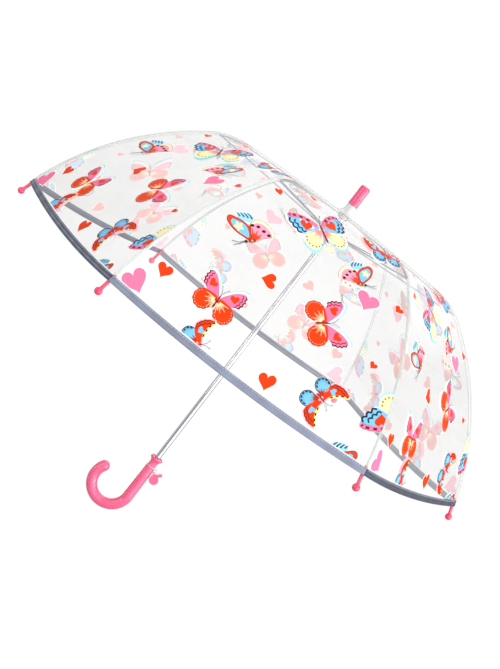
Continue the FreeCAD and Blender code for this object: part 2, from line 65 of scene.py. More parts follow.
HINGE = (joints[FOLD]["pos_m"][0] / MM, joints[FOLD]["pos_m"][2] / MM)
CLIP = (joints["rib_lower_1_flex"]["pos_m"][0] / MM, joints["rib_lower_1_flex"]["pos_m"][2] / MM)
RIM = (370.0, 240.0)
BEND_RADIUS = 110.0
CLIP_SLOPE = math.radians(24.0)
SHOULDER_RADIUS = 60.0
SHOULDER_SLOPE = math.radians(34.0)
FILM_OFFSET = 3.1               # from a rib's centreline out to the film
FILM_START = 5.5                # where the film starts, down the rib from the crown
FILM_SAG = 3.0                  # how far a gore's middle sags inwards, half way down
FILM_EDGE_GAP = 0.25            # between a film panel's side and the rib's middle
FILM_TUCK = 2.5                 # how far the film reaches into the binding
SEAM_START = 3.0                # between the film's start and the seams'
SEAM_GAP = 1.7                  # between a seam's end and the fold, so that its two halves don't meet
BINDING_WIDTH = 9.0
HEM_BOW = 8.0                   # how far the hem hangs below a straight line between two ribs


def arc_centre(point, slope, radius):
    return point[0] - radius * math.sin(slope), point[1] - radius * math.cos(slope)


def rib_arcs():
    """The rib's line as arcs: (centre, radius, slope at the start, slope at the end)."""
    low, high = 0.0, CLIP_SLOPE
    for _ in range(50):
        slope = (low + high) / 2
        run = CLIP[0] - HINGE[0] - BEND_RADIUS * (math.sin(CLIP_SLOPE) - math.sin(slope))
        drop = HINGE[1] - CLIP[1] - BEND_RADIUS * (math.cos(slope) - math.cos(CLIP_SLOPE))
        low, high = (slope, high) if 2 * math.atan2(drop, run) > slope else (low, slope)
    crown_radius = run / math.sin(slope)
    shoulder = arc_centre(CLIP, CLIP_SLOPE, SHOULDER_RADIUS)
    start = (shoulder[0] + SHOULDER_RADIUS * math.sin(SHOULDER_SLOPE),
             shoulder[1] + SHOULDER_RADIUS * math.cos(SHOULDER_SLOPE))
    chord = math.hypot(RIM[0] - start[0], RIM[1] - start[1])
    chord_slope = math.atan2(start[1] - RIM[1], RIM[0] - start[0])
    radius = chord / 2 / math.sin(chord_slope - SHOULDER_SLOPE)
    rim_slope = 2 * chord_slope - SHOULDER_SLOPE
    return [(arc_centre(HINGE, 0, crown_radius), crown_radius, 0.0, slope),
            (arc_centre(CLIP, CLIP_SLOPE, BEND_RADIUS), BEND_RADIUS, slope, CLIP_SLOPE),
            (shoulder, SHOULDER_RADIUS, CLIP_SLOPE, SHOULDER_SLOPE),
            (arc_centre(RIM, rim_slope, radius), radius, SHOULDER_SLOPE, rim_slope)]


ARCS = rib_arcs()
S_CLIP = sum(radius * (end - start) for _, radius, start, end in ARCS[:2])
S_RIM = S_CLIP + sum(radius * (end - start) for _, radius, start, end in ARCS[2:])
S_HEM = S_RIM - BINDING_WIDTH


def rib_point(s, offset=FILM_OFFSET):
    """(radius, height, slope) of the line that lies offset outside the rib, s along it."""
    for arc in ARCS:
        centre, radius, start, end = arc
        if s <= radius * (end - start) or arc is ARCS[-1]:
            break
        s -= radius * (end - start)
    slope = start + s / radius
    return (centre[0] + (radius + offset) * math.sin(slope),
            centre[1] + (radius + offset) * math.cos(slope), slope)


def half_width(s):
    """Half of a gore's width, from its middle out to the rib."""
    return rib_point(s)[0] * math.sin(HALF_GORE)


def film_point(gore, s, t, lift=0.0):
    """A place on gore number 1 to 6, lifted off the film, in metres.  The film sags a little inwards."""
    radius, height, slope = rib_point(s + hem_bow(s, t), FILM_OFFSET)
    t *= half_width(s + hem_bow(s, t)) / half_width(s)
    across = min(1.0, abs(t) / (radius * math.sin(HALF_GORE)))
    down = min(1.0, s / S_RIM)
    sag = FILM_SAG * (1 - across ** 2) * math.sin(math.pi * down) ** 0.8
    lift -= sag
    outwards = radius * math.cos(HALF_GORE) + lift * math.sin(slope)
    point = Vector((outwards, t, height + lift * math.cos(slope))) * MM
    return Matrix.Rotation(math.radians(60 * gore - 30), 3, "Z") @ point


def hem_bow(s, t):
    """How much further down the film a place lies, near the hem, than it would with a straight hem."""
    across = min(1.0, abs(t) / half_width(S_RIM))
    share = max(0.0, (s - S_CLIP) / (S_RIM - S_CLIP))
    return HEM_BOW * (1 - across ** 2) * share ** 3


# ---------------------------------------------------------------- materials

def linear(hexcode):
    """A colour written as in a paint chart, such as F04A10, in Blender's linear values."""
    channels = [int(hexcode[i:i + 2], 16) / 255 for i in (0, 2, 4)]
    return tuple(c / 12.92 if c <= 0.04045 else ((c + 0.055) / 1.055) ** 2.4 for c in channels) + (1.0,)


class Shader:
    """A node material with a Principled shader, and short ways to add to it."""

    def __init__(self, name, colour, rough, **sockets):
        self.material = bpy.data.materials.new(name)
        self.material.use_nodes = True
        self.tree = self.material.node_tree
        self.main = self.tree.nodes["Principled BSDF"]
        self.main.inputs["Base Color"].default_value = linear(colour)
        self.main.inputs["Roughness"].default_value = rough
        for socket, value in sockets.items():
            self.main.inputs[socket.replace("_", " ")].default_value = value

    def node(self, kind, **values):
        made = self.tree.nodes.new("ShaderNode" + kind)
        for key, value in values.items():
            if key in made.inputs:
                made.inputs[key].default_value = value
            else:
                setattr(made, key, value)
        return made

    def link(self, source, target):
        self.tree.links.new(source, target)

    def place(self, scale=(1, 1, 1)):
        """The object's own coordinates, scaled."""
        mapping = self.node("Mapping")
        mapping.inputs["Scale"].default_value = scale
        self.link(self.node("TexCoord").outputs["Object"], mapping.inputs["Vector"])
        return mapping.outputs["Vector"]

    def noise(self, scale, detail, stretch=(1, 1, 1)):
        made = self.node("TexNoise", Scale=scale, Detail=detail)
        self.link(self.place(stretch), made.inputs["Vector"])
        return made.outputs["Fac"]

    def ramp(self, source, low, high, start=0.3, end=0.7):
        """source stretched from start..end to low..high."""
        made = self.node("MapRange")
        for key, value in (("From Min", start), ("From Max", end), ("To Min", low), ("To Max", high)):
            made.inputs[key].default_value = value
        self.link(source, made.inputs["Value"])
        return made.outputs["Result"]

    def mix(self, source, first, second):
        """Two colours mixed by source, into the base colour."""
        made = self.node("Mix", data_type="RGBA")
        # The colour sockets share their names with the number sockets, so they are taken by place.
        first_colour, second_colour, result = made.inputs[6], made.inputs[7], made.outputs[2]
        first_colour.default_value = linear(first)
        second_colour.default_value = linear(second)
        self.link(source, made.inputs["Factor"])
        self.link(result, self.main.inputs["Base Color"])

    def bump(self, source, strength, distance):
        made = self.node("Bump", Strength=strength, Distance=distance)
        self.link(source, made.inputs["Height"])
        self.link(made.outputs["Normal"], self.main.inputs["Normal"])


def moulded(name, colour, second, rough, **sockets):
    """Glossy moulded plastic: faint flow marks in its colour and an uneven shine."""
    shader = Shader(name, colour, rough, **sockets)
    shader.mix(shader.ramp(shader.noise(28, 2), 0.0, 1.0), colour, second)
    shine = shader.ramp(shader.noise(160, 4), rough - 0.02, rough + 0.04)
    shader.link(shine, shader.main.inputs["Roughness"])
    shader.bump(shader.noise(90, 2), 0.03, 0.0001)
    return shader.material


def metal(name, colour, rough, drawn):
    """Plated or drawn steel: fine lines along the length."""
    shader = Shader(name, colour, rough, Metallic=1.0)
    lines = shader.noise(900, 2, (1, 1, 0.02))
    shader.link(shader.ramp(lines, rough * 0.8, rough * 1.5), shader.main.inputs["Roughness"])
    if drawn:
        shader.bump(lines, drawn, 0.0001)
    return shader.material


FILM_OPACITY = 0.17             # face on
FILM_EDGE_HAZE = 0.40           # how much more it gets edge on
FILM_STREAKS = 0.12             # and at most in its faint streaks


def make_film():
    """Clear film: thin to look at face on, milky and shiny where it is seen edge on."""
    shader = Shader("film", "ECEAE9", 0.1, IOR=1.5, Coat_Weight=0.6, Coat_Roughness=0.04)
    facing = shader.node("LayerWeight", Blend=0.35).outputs["Facing"]
    edge = shader.node("Math", operation="POWER")
    edge.inputs[1].default_value = 2.2
    shader.link(facing, edge.inputs[0])
    streaks = shader.ramp(shader.noise(9, 3, (1, 1, 2.5)), 0.0, FILM_STREAKS, 0.45, 0.75)
    haze = shader.node("Math", operation="MULTIPLY_ADD")
    haze.inputs[1].default_value = FILM_EDGE_HAZE
    shader.link(edge.outputs[0], haze.inputs[0])
    shader.link(streaks, haze.inputs[2])
    total = shader.node("Math", operation="ADD", use_clamp=True)
    total.inputs[1].default_value = FILM_OPACITY
    shader.link(haze.outputs[0], total.inputs[0])
    shader.link(total.outputs[0], shader.main.inputs["Alpha"])
    shader.bump(shader.noise(7, 4), 0.4, 0.004)
    return shader.material


def make_ink(name, rough, glow):
    """Printed ink.  Its colour is the mesh's own, and it glows a little in that colour, as painted light that
    keeps it bright on the film.
    """
    shader = Shader(name, "FFFFFF", rough, Emission_Strength=glow, Specular_IOR_Level=0.15)
    ink = shader.node("Attribute", attribute_name="ink").outputs["Color"]
    shader.link(ink, shader.main.inputs["Base Color"])
    shader.link(ink, shader.main.inputs["Emission Color"])
    shader.bump(shader.noise(1500, 2), 0.1, 0.0001)
    return shader.material


def make_tape():
    """Reflective woven edge binding: it mirrors softly, so it looks pale or dark by what stands round it."""
    shader = Shader("tape", "989FB8", 0.3, Metallic=0.85)
    weave = shader.node("TexWave", Scale=520.0, Distortion=0.6, bands_direction="DIAGONAL")
    shader.link(shader.place(), weave.inputs["Vector"])
    shader.mix(shader.ramp(shader.noise(14, 3), 0.0, 1.0), "989FB8", "8A90A2")
    shader.bump(weave.outputs["Fac"], 0.15, 0.0002)
    return shader.material


# The outside print's small glow is painted light that lifts it where it lies in shade.
INK_FRONT = make_ink("ink_front", 0.4, 0.12)
# The inside print's stronger glow is painted light that stands in for light shining through the film and the
# ink.
INK_BACK = make_ink("ink_back", 0.5, 0.42)
FILM = make_film()
TAPE = make_tape()
PINK = moulded("handle_pink", "FF6694", "FB5C8A", 0.24, Coat_Weight=1.0, Coat_Roughness=0.12)
FERRULE_PINK = moulded("ferrule_pink", "F84F86", "F0457C", 0.24, Coat_Weight=1.0, Coat_Roughness=0.1)
TIP_PINK = moulded("tip_pink", "FB4670", "F23A62", 0.2, Coat_Weight=0.6, Coat_Roughness=0.06)
WHITE = moulded("white_plastic", "EFF1F1", "E6E9EA", 0.3)
FROSTED = moulded("frosted_plastic", "FFFFFF", "F2F8F7", 0.3, Alpha=0.62)
PEA = moulded("pea", "EBDDC4", "DCCBAE", 0.6)
CHROME = metal("chrome", "D0D4D8", 0.07, 0.0)
WIRE = metal("wire", "B2B7BC", 0.26, 0.1)
SEAM = moulded("seam", "DFE9E2", "D3DFD8", 0.25, Alpha=0.5)
ROD = moulded("rod", "F0F3F2", "E6EAE9", 0.35)
THREAD = moulded("thread", "C9CDCF", "B7BBBE", 0.7)


# ---------------------------------------------------------------- mesh helpers

def mesh_object(name, vertices, faces, material):
    mesh = bpy.data.meshes.new(name)
    mesh.from_pydata([tuple(v) for v in vertices], [], faces)
    mesh.materials.append(material)
    mesh.update()
    mesh.polygons.foreach_set("use_smooth", [True] * len(mesh.polygons))
    made = bpy.data.objects.new(name, mesh)
    bpy.context.collection.objects.link(made)
    return made


def grid_object(name, rows, material, closed=False):
    """A surface through rows of points, every row as long as the first."""
    across = len(rows[0])
    faces = []
    for i in range(len(rows) - 1):
        for j in range(across if closed else across - 1):
            k = (j + 1) % across
            faces.append((i * across + j, i * across + k, (i + 1) * across + k, (i + 1) * across + j))
    return mesh_object(name, [point for row in rows for point in row], faces, material)


def fold_away(piece):
    """Gives the piece a mesh of its own."""
    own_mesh(piece)


def steps(low, high, count):
    """The values from low to high, count steps apart."""
    return [low + (high - low) * i / count for i in range(count + 1)]


# ---------------------------------------------------------------- the film

def film_piece(gore, name, body, s_low, s_high, count):
    """One film panel, with its flat size and area in metres."""
    rows = []
    for s in steps(s_low, s_high, count):
        edge = half_width(s) - FILM_EDGE_GAP
        rows.append([film_point(gore, s, edge * across) for across in steps(-1, 1, 28)])
    piece = grid_object(f"film_{name}_{gore}", rows, FILM)
    widths = [2 * half_width(s) for s in steps(s_low, s_high, 200)]
    length = (s_high - s_low) * MM
    area = sum(widths) / len(widths) * MM * length
    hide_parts(f"canopy_{name}_{gore}")
    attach(piece, body)
    return piece, (max(widths) * MM, length), area


# ---------------------------------------------------------------- the print
# A motif is a list of (colour, outline) layers, drawn from the lowest up.  Its own X points right, its
# own Y towards the butterfly's head, and its half span is 1.

RED = "E23B00"
PINK_INK = "F2769F"
BLUE = "7AC2EA"
CREAM = "FBEDB0"
NAVY = "20304F"
MAROON = "7A1414"
BLACK = "1B1416"
CYAN = "8FE0E0"
HALO = "FFFDF6"


def smooth_loop(points, per=5):
    """A closed curve through a few points."""
    found = []
    count = len(points)
    for i in range(count):
        a, b, c, d = (points[(i + k) % count] for k in (-1, 0, 1, 2))
        for j in range(per):
            u = j / per
            found.append(tuple(0.5 * (2 * b[n] + (c[n] - a[n]) * u
                                      + (2 * a[n] - 5 * b[n] + 4 * c[n] - d[n]) * u * u
                                      + (3 * b[n] - a[n] - 3 * c[n] + d[n]) * u ** 3) for n in (0, 1)))
    return found


def disc(x, y, radius, count=12, waves=0, depth=0.0):
    """A round outline of count points, with waves round it if they are asked for."""
    found = []
    for i in range(count):
        angle = 2 * math.pi * i / count
        r = radius * (1 + depth * math.cos(waves * angle))
        found.append((x + r * math.cos(angle), y + r * math.sin(angle)))
    return found


def heart(x, y, width, turn=0.0):
    """A heart whose point looks down before it is turned, in degrees."""
    found = []
    cos, sin = math.cos(math.radians(turn)), math.sin(math.radians(turn))
    for i in range(28):
        a = 2 * math.pi * i / 28
        px = 16 * math.sin(a) ** 3 / 32 * width
        py = (13 * math.cos(a) - 5 * math.cos(2 * a) - 2 * math.cos(3 * a) - math.cos(4 * a)) / 31 * width
        found.append((x + px * cos - py * sin, y + px * sin + py * cos))
    return found


def stroke(points, width, taper=1.0):
    """A narrow band along an open line of points."""
    left, right = [], []
    for i, (x, y) in enumerate(points):
        ax, ay = points[max(i - 1, 0)]
        bx, by = points[min(i + 1, len(points) - 1)]
        length = math.hypot(bx - ax, by - ay) or 1.0
        half = width / 2 * (1 + (taper - 1) * i / (len(points) - 1))
        nx, ny = -(by - ay) / length * half, (bx - ax) / length * half
        left.append((x + nx, y + ny))
        right.append((x - nx, y - ny))
    return left + right[::-1]


def wavy(points, waves, depth):
    """An open line of points redrawn as a smooth line with waves along it."""
    lengths = [0.0]
    for (ax, ay), (bx, by) in zip(points, points[1:]):
        lengths.append(lengths[-1] + math.hypot(bx - ax, by - ay))
    found = []
    count = waves * 8
    for i in range(count + 1):
        reach = lengths[-1] * i / count
        k = min(sum(1 for length in lengths[1:] if length < reach), len(points) - 2)
        (ax, ay), (bx, by) = points[k], points[k + 1]
        gap = lengths[k + 1] - lengths[k]
        u = (reach - lengths[k]) / gap
        out = depth * abs(math.sin(math.pi * waves * i / count))
        found.append((ax + (bx - ax) * u + (by - ay) / gap * out,
                      ay + (by - ay) * u - (bx - ax) / gap * out))
    return found


def dashes(points, start, end, width):
    """One dash on each stretch of an open line, from the share start to the share end of it."""
    return [stroke([(ax + share * (bx - ax), ay + share * (by - ay)) for share in (start, end)], width)
            for (ax, ay), (bx, by) in zip(points, points[1:])]


def grow(points, amount):
    """An outline moved outwards."""
    area = sum(a[0] * b[1] - b[0] * a[1] for a, b in zip(points, points[1:] + points[:1]))
    side = amount if area > 0 else -amount
    found = []
    for i, (x, y) in enumerate(points):
        ax, ay = points[i - 1]
        bx, by = points[(i + 1) % len(points)]
        length = math.hypot(bx - ax, by - ay) or 1.0
        found.append((x + (by - ay) / length * side, y - (bx - ax) / length * side))
    return found


def mirrored(layers):
    """The same layers on the other side of a motif's own Y axis."""
    return [(colour, [(-x, y) for x, y in points]) for colour, points in layers]


def rays(x, y, first, last, count, inner, outer, width):
    """Tapered strokes that fan out from a point."""
    found = []
    for i in range(count):
        a = math.radians(first + (last - first) * i / (count - 1))
        reach = outer * (0.85 + 0.15 * math.cos(3.0 * i))
        found.append(stroke([(x + inner * math.cos(a), y + inner * math.sin(a)),
                             (x + reach * math.cos(a), y + reach * math.sin(a))], width, 0.35))
    return found


def body_layers(top=0.20, foot=-0.52, colour=MAROON):
    """A butterfly's feelers, body and the bands on it."""
    trunk = smooth_loop([(0, top), (0.035, 0.05), (0.03, -0.15), (0.04, -0.35), (0, foot),
                         (-0.04, -0.35), (-0.03, -0.15), (-0.035, 0.05)], 3)
    feelers = [stroke([(side * 0.01, top), (side * 0.06, top + 0.16), (side * 0.15, top + 0.27)], 0.014)
               for side in (-1, 1)]
    knobs = [disc(side * 0.155, top + 0.28, 0.02, 8) for side in (-1, 1)]
    bands = [disc(0, y, 0.02, 8) for y in (-0.02, -0.2, -0.34)]
    return [(BLACK, f) for f in feelers + knobs] + [(colour, trunk)] + [("D9543A", b) for b in bands]


def sky_butterfly():
    """Blue forewings with a pink leading edge and a red heart, over spotted cream hindwings."""
    fore = smooth_loop([(0.05, 0.06), (0.26, 0.34), (0.58, 0.54), (0.90, 0.62), (1.02, 0.52), (0.99, 0.30),
                        (0.90, 0.10), (0.78, -0.12), (0.40, -0.10)])
    edge = [(0.10, 0.10), (0.26, 0.28), (0.45, 0.42), (0.66, 0.51), (0.88, 0.555), (0.98, 0.52)]
    hind = smooth_loop([(0.04, -0.02), (0.34, -0.06), (0.64, -0.14), (0.74, -0.32), (0.70, -0.54),
                        (0.52, -0.68), (0.34, -0.62), (0.20, -0.44), (0.08, -0.20)])
    margin = [(0.94, 0.44), (0.93, 0.30), (0.85, 0.10), (0.74, -0.08)]
    second = [(x - 0.16, y * 0.84 + 0.01) for x, y in margin]
    wing = [(HALO, grow(fore, 0.03)), (CYAN, grow([(x, y - 0.06) for x, y in hind], 0.035)),
            (HALO, grow(hind, 0.03)), (CREAM, hind), (BLUE, fore),
            (NAVY, stroke(wavy(margin, 3, -0.08), 0.06)), (NAVY, stroke(wavy(second, 3, -0.07), 0.05)),
            (NAVY, stroke([(x - 0.005, y - 0.075) for x, y in edge[1:]], 0.02)),
            (PINK_INK, stroke(edge, 0.15)), ("B4405A", stroke([(x, y + 0.07) for x, y in edge], 0.016)),
            (RED, heart(0.48, 0.16, 0.40, 25))]
    wing += [(MAROON, dash) for dash in dashes(edge[1:], 0.2, 0.7, 0.075)]
    wing += [("F48FA0", ray) for ray in rays(0.05, -0.02, -8, -76, 6, 0.05, 0.40, 0.045)]
    wing += [("6B4A1E", disc(0.42 + 0.26 * math.cos(a), -0.36 + 0.25 * math.sin(a), 0.026, 8))
             for a in steps(-2.3, 0.45, 6)]
    return wing + mirrored(wing) + body_layers()


def flame_butterfly():
    """Narrow pink forewings with a red heart, over round red hindwings with cream rays."""
    fore = smooth_loop([(0.04, 0.05), (0.22, 0.40), (0.46, 0.68), (0.74, 0.84), (0.86, 0.74), (0.90, 0.50),
                        (0.84, 0.26), (0.42, 0.0)])
    hind = disc(0.48, -0.32, 0.38, 44, 11, 0.035)
    joint = smooth_loop([(0.04, 0.03), (0.30, 0.10), (0.60, -0.02), (0.40, -0.40), (0.12, -0.34)])
    margin = [(0.80, 0.78), (0.85, 0.60), (0.84, 0.40), (0.76, 0.20)]
    halo = [(0.20, 0.50), (0.42, 0.78), (0.68, 0.95), (0.88, 0.96)]
    wing = [(HALO, grow(fore, 0.03)), (HALO, grow(hind, 0.025)), (CYAN, stroke(halo, 0.055)),
            (HALO, stroke([(x - 0.01, y - 0.04) for x, y in halo], 0.03)), (PINK_INK, fore),
            (BLACK, stroke(wavy(margin, 4, -0.06), 0.045)),
            (MAROON, stroke(wavy([(x - 0.12, y - 0.03) for x, y in margin], 4, -0.05), 0.035)),
            (RED, heart(0.52, 0.42, 0.36, 25)), ("9E1B12", grow(hind, 0.02)), (RED, hind), (RED, joint)]
    wing += [("FFE9C4", disc(0.48 + 0.33 * math.cos(a), -0.32 + 0.33 * math.sin(a), 0.016, 6))
             for a in steps(-2.6, 0.8, 11)]
    wing += [("FFD9A8", ray) for ray in rays(0.04, -0.04, 2, -80, 8, 0.08, 0.48, 0.045)]
    return wing + mirrored(wing) + body_layers(0.24, -0.36)


def berry_butterfly():
    """Red forewings with a blue heart and a dashed yellow edge, over round blue hindwings."""
    fore = smooth_loop([(0.05, 0.06), (0.34, 0.10), (0.66, 0.30), (0.92, 0.62), (1.0, 0.44), (0.98, 0.14),
                        (0.86, -0.12), (0.60, -0.22), (0.20, -0.14)])
    hind = disc(0.40, -0.44, 0.30, 30)
    edge = [(0.30, 0.13), (0.52, 0.24), (0.70, 0.38), (0.84, 0.55), (0.93, 0.68)]
    margin = [(0.94, 0.46), (0.95, 0.24), (0.88, 0.02), (0.76, -0.16)]
    wing = [(HALO, grow(hind, 0.05)), ("FFC4CF", grow(fore, 0.06)), ("FFE98C", stroke(edge, 0.10)),
            (BLACK, grow(hind, 0.035)), (BLUE, hind), (RED, fore),
            ("8E1A10", stroke(wavy(margin, 4, -0.05), 0.045)),
            ("8E1A10", stroke(wavy([(x - 0.13, y) for x, y in margin], 4, -0.05), 0.035)),
            (BLUE, heart(0.56, 0.04, 0.30, -30))]
    wing += [(BLACK, dash) for dash in dashes(edge, 0.0, 0.5, 0.055)]
    wing += [("C62A0E", ray) for ray in rays(0.06, -0.08, -35, -85, 6, 0.05, 0.36, 0.075)]
    wing += [("5FB4DE", disc(0.40 + 0.17 * math.cos(a), -0.45 + 0.17 * math.sin(a), 0.022, 6))
             for a in steps(-2.4, 0.2, 6)]
    for first in steps(-2.9, 0.1, 5):
        arc = [(0.40 + 0.255 * math.cos(a), -0.44 + 0.255 * math.sin(a))
               for a in steps(first, first + 0.42, 4)]
        wing.append((BLACK, stroke(arc, 0.055)))
    return wing + mirrored(wing) + body_layers(0.16, -0.30, "A3203A")


def folded_butterfly():
    """A butterfly from the side, head to the right: a spotted pink wing, and a blue one edged with red."""
    big = smooth_loop([(-0.04, -0.30), (0.02, 0.10), (-0.10, 0.46), (-0.40, 0.66), (-0.74, 0.58),
                       (-1.0, 0.26), (-1.04, -0.06), (-0.60, -0.14), (-0.30, -0.26)])
    pink = [(x * 0.86 - 0.03, y * 0.84 - 0.03) for x, y in big]
    small = smooth_loop([(0.0, -0.24), (0.30, -0.10), (0.66, 0.22), (0.86, 0.62), (0.74, 0.84), (0.48, 0.76),
                         (0.16, 0.56), (-0.02, 0.30)])
    back = smooth_loop([(-0.06, 0.54), (0.40, 0.76), (0.30, 0.98), (-0.06, 0.98), (-0.36, 0.80)])
    wing = [(HALO, grow(back, 0.03)), (HALO, grow(big, 0.04)), (HALO, grow(small, 0.04)), ("9BD3EE", back)]
    wing += [(BLACK, stroke([(-0.24 + 0.17 * i, 0.70 + 0.04 * i), (-0.18 + 0.16 * i, 0.86),
                             (-0.08 + 0.15 * i, 0.97)], 0.07, 0.5)) for i in range(4)]
    wing += [("6E2415", grow(big, 0.02)), ("FFF0C8", big), ("FF9DB6", pink)]
    wing += [("C9401C", stroke([(0.0, -0.26), (0.01, 0.10), (-0.10, 0.44)], 0.16, 0.6)),
             ("7A2A16", grow(small, 0.02)), ("CE4420", small),
             (BLUE, [(x * 0.74 + 0.08, y * 0.74 + 0.06) for x, y in small]),
             ("E9F7A0", disc(0.42, 0.36, 0.17, 24, 5, 0.32)), ("FFFFFF", disc(0.42, 0.36, 0.06, 10))]
    wing += [("4A0A0A", disc(x, y, 0.075, 10, 2, 0.15)) for x, y in
             ((-0.18, 0.42), (-0.42, 0.36), (-0.62, 0.16), (-0.80, -0.02))]
    wing += [("D8461C", ray) for ray in rays(-0.06, -0.24, 100, 164, 6, 0.04, 0.50, 0.09)]
    trunk = smooth_loop([(-0.20, -0.26), (-0.04, -0.36), (0.14, -0.32), (0.10, -0.20), (-0.08, -0.18)])
    wing += [("A33218", trunk),
             ("F9A58C", disc(-0.02, -0.27, 0.05, 8)), ("3A0C0C", disc(0.24, -0.30, 0.07, 10)),
             (BLACK, stroke([(0.28, -0.28), (0.56, -0.34), (0.84, -0.26)], 0.022)),
             (BLACK, stroke([(0.28, -0.30), (0.54, -0.40), (0.80, -0.44)], 0.022))]
    return wing


def plain_heart(colour):
    """A heart with a thin pale edge."""
    return [(HALO, heart(0, 0, 2.12)), (colour, heart(0, 0, 2.0))]


MOTIFS = {"sky": sky_butterfly(), "flame": flame_butterfly(), "berry": berry_butterfly(),
          "folded": folded_butterfly(), "folded_left": mirrored(folded_butterfly()),
          "red_heart": plain_heart(RED), "pink_heart": plain_heart(PINK_INK)}

# (motif, s down the gore, t across it, span, turn): the turn is anticlockwise from the crown, in degrees
LAYOUT = [
    ("sky", 230, -22, 85, 50), ("folded_left", 312, -88, 62, 43), ("folded", 260, 51, 54, 38),
    ("flame", 408, -72, 62, 0), ("flame", 348, 46, 66, -52), ("berry", 428, 95, 58, -105),
    ("berry", 462, -58, 56, -55), ("sky", 397, 186, 84, 188), ("folded", 484, 148, 58, 15),
    ("pink_heart", 452, -162, 31, 60), ("pink_heart", 281, 74, 31, 5),
    ("red_heart", 420, -142, 20, 5), ("red_heart", 347, -37, 21, -70), ("red_heart", 448, 30, 22, 18),
    ("red_heart", 354, 122, 11, -10), ("red_heart", 222, -92, 12, 40), ("red_heart", 262, 112, 13, -20),
    ("berry", 182, 60, 58, 30), ("red_heart", 178, -52, 11, 15), ("red_heart", 118, 12, 10, -30),
]


def clipped(points, inside):
    """The part of an outline where inside is above zero."""
    found = []
    for a, b in zip(points, points[1:] + points[:1]):
        va, vb = inside(a), inside(b)
        if va > 0:
            found.append(a)
        if (va > 0) != (vb > 0):
            u = va / (va - vb)
            found.append((a[0] + (b[0] - a[0]) * u, a[1] + (b[1] - a[1]) * u))
    return found


LAYER = 0.035                   # how far each layer of ink stands off the one below it
FRONT_LIFT = 0.30               # and the whole outside print off the film, which would else show through
BACK_LIFT = 0.12                # and the whole inside print
PRINT_MARGIN = 2.0              # between the print and the rib's middle
PRINT_START = 12.0              # between the film's start at the crown and the print
PRINT_HEM_GAP = 0.5
PALE_SHARE = 0.50               # how much of the ink's colour its back keeps
PALE_WHITE = 0.40               # and how much white is added to it


def placed_outline(outline, s, t, span, turn, s_low, s_high):
    """A motif's outline put on the gore, and cut at the panel's ends and beside the ribs."""
    cos, sin = math.cos(math.radians(turn)), math.sin(math.radians(turn))
    placed = [(s - (x * sin + y * cos) * span / 2, t + (x * cos - y * sin) * span / 2)
              for x, y in outline]
    placed = clipped(placed, lambda p: p[0] - s_low)
    placed = clipped(placed, lambda p: s_high - p[0])
    placed = clipped(placed, lambda p: half_width(max(p[0], 0)) - PRINT_MARGIN - p[1])
    return clipped(placed, lambda p: half_width(max(p[0], 0)) - PRINT_MARGIN + p[1])


def add_ink(shell, ink, gore, placed, level, colour):
    """One layer of ink as two faces: full colour outside the film, pale inside it."""
    paint = linear(colour)
    pale = tuple(c * PALE_SHARE + PALE_WHITE for c in paint[:3]) + (1.0,)
    for side, start, shade in ((1, FRONT_LIFT, paint), (-1, BACK_LIFT, pale)):
        lift = side * (start + LAYER * (level + 1))
        corners = []
        for s, t in placed:
            corner = shell.verts.new(film_point(gore, s, t, lift))
            corner[ink] = shade
            corners.append(corner)
        face = shell.faces.new(corners if side < 0 else corners[::-1])
        face.material_index = 0 if side > 0 else 1


def print_piece(gore, name, body, s_low, s_high):
    """All the motifs on one film panel: full colour outside, and a pale back seen from inside."""
    shell = bmesh.new()
    ink = shell.verts.layers.float_color.new("ink")
    for motif, s, t, span, turn in LAYOUT:
        for level, (colour, outline) in enumerate(MOTIFS[motif]):
            placed = placed_outline(outline, s, t, span, turn, s_low, s_high)
            if len(placed) >= 3:
                add_ink(shell, ink, gore, placed, level, colour)
    shell.normal_update()
    bmesh.ops.triangulate(shell, faces=shell.faces[:], ngon_method="EAR_CLIP")
    mesh = bpy.data.meshes.new(f"print_{name}_{gore}")
    shell.to_mesh(mesh)
    shell.free()
    mesh.materials.append(INK_FRONT)
    mesh.materials.append(INK_BACK)
    piece = bpy.data.objects.new(mesh.name, mesh)
    bpy.context.collection.objects.link(piece)
    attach(piece, body)
    return piece


# ---------------------------------------------------------------- hem and seams

BINDING_OUTER = S_RIM + 0.6
BINDING_INNER = S_HEM + 1.0
BINDING_PROFILE = [(0.0, 0.35), (0.06, 0.6), (0.42, 0.6), (0.47, 0.22), (0.53, 0.22), (0.58, 0.62),
                   (0.92, 0.55), (1.0, 0.3)]                                # (share of its width, lift)


def binding_piece(gore):
    """The folded tape round the hem, slightly rippled, with a shallow groove along its middle."""
    width = BINDING_OUTER - BINDING_INNER
    upper = [(BINDING_INNER + share * width, lift) for share, lift in BINDING_PROFILE]
    profile = upper + [(BINDING_OUTER + 0.35, 0.0)] + [(s, -lift) for s, lift in upper[::-1]]
    loops = []
    for across in steps(-1, 1, 60):
        ripple = 0.12 * math.sin(across * 37.0 + gore) + 0.08 * math.sin(across * 91.0)
        loops.append([film_point(gore, s, (half_width(s) - 0.15) * across, lift * (1 + 0.2 * ripple) + ripple)
                      for s, lift in profile])
    return grid_object(f"binding_{gore}", loops, TAPE, closed=True)


STITCH_PITCH = 4.2
STITCH_LINE = S_HEM + 2.6
STITCH_HALF_WIDTH = 0.28
STITCH_HUMP = [(-1.3, 0.55), (-0.9, 0.85), (0.9, 0.85), (1.3, 0.55)]      # (along it, lift)


